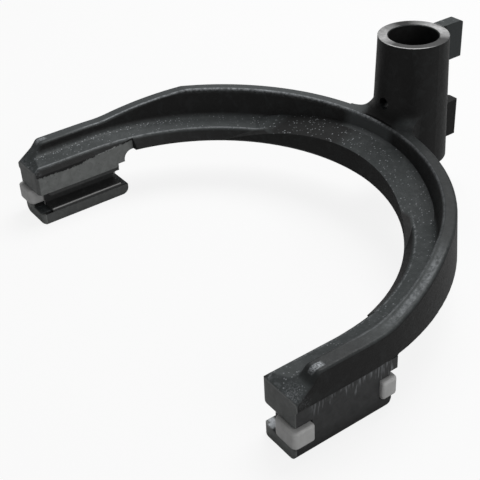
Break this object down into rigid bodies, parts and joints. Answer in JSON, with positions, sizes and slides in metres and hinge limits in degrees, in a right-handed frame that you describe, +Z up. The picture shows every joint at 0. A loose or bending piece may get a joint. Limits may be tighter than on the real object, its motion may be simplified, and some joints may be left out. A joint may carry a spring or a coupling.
{
  "type": "shift fork",
  "caption": "Forged gearbox shift fork: a rail hub with two lugs, a U-shaped arch with a raised rim, and notched feet lined with moulded wear shoes.",
  "frame": {"origin": "on the axis of the shift rail bore, at the hub's lower end face", "axes": "+Z up the bore, from the feet's side to the ringed end of the hub; the arch opens towards -Y; +X to the right foot"},
  "size_m": [0.153, 0.1296, 0.0578],
  "materials": {
    "forged_steel": "dark oiled forging skin with bare machined faces",
    "shoe_plastic": "moulded, matte"
  },
  "bodies": {
    "root": {"fork_body": "forged_steel", "left_shoe": "shoe_plastic", "right_shoe": "shoe_plastic"}
  },
  "joints": []
}
